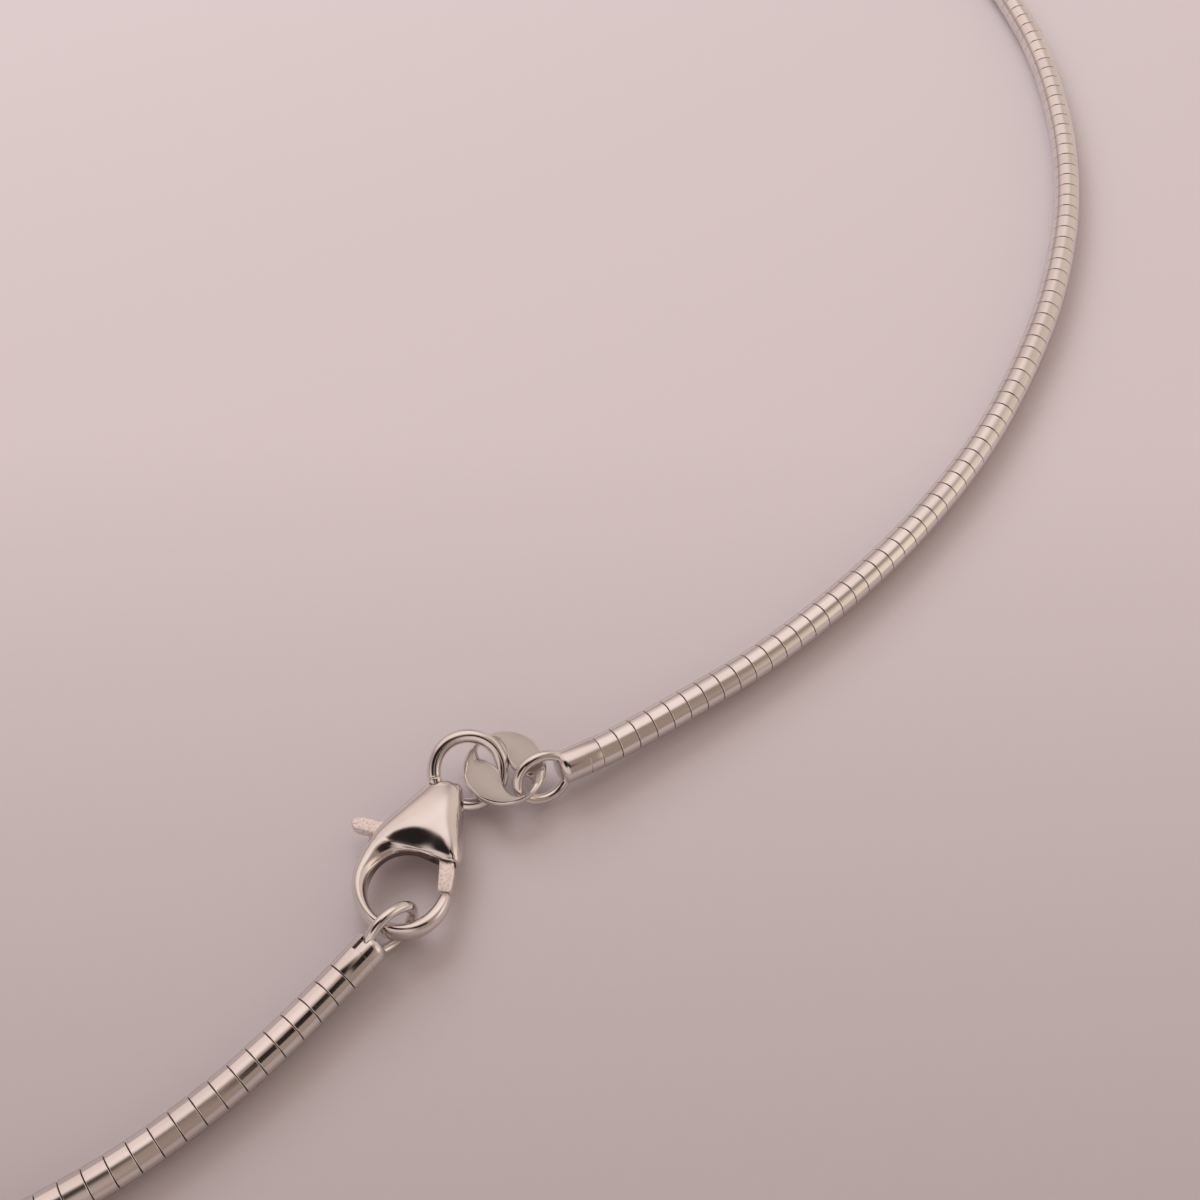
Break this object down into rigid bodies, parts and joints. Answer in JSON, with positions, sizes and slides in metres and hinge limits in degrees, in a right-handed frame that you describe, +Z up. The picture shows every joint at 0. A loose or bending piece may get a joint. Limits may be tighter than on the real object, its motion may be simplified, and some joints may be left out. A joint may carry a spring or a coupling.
{
  "type": "omega necklace",
  "caption": "Omega necklace: a whole loop of round plate chain with capped ends, closed by a lobster clasp on a wire ring and a round flat tag.",
  "frame": {"origin": "under the middle of the loop's box, on the surface that the necklace lies on", "axes": "+Z up from the surface, the clasp at the front (-Y), +X along the loop's longer way from the hook side to the tag side"},
  "size_m": [0.1634, 0.1124, 0.0031],
  "materials": {
    "polished_metal": "polished white metal with fine wear",
    "chain_plates": "polished round plates with fine dark grooves between them",
    "stamped_metal": "rough stamped sheet, duller than the polished pieces"
  },
  "bodies": {
    "necklace": {"omega_chain": "chain_plates", "end_cap_hook_side": "polished_metal", "end_cap_tag_side": "polished_metal", "clasp_ring": "polished_metal", "tag": "polished_metal", "clasp_body": "polished_metal", "lever_pin": "polished_metal"},
    "lever": {"clasp_lever": "stamped_metal"}
  },
  "joints": [
    {"name": "lever_turn", "type": "hinge", "parent": "necklace", "child": "lever", "pos_m": [-0.01709, -0.04945, 0.0014], "axis": [0, 0, -1], "range_deg": [0, 25], "stiffness_Nm_per_rad": 0.004, "springref_deg": -11.46}
  ]
}
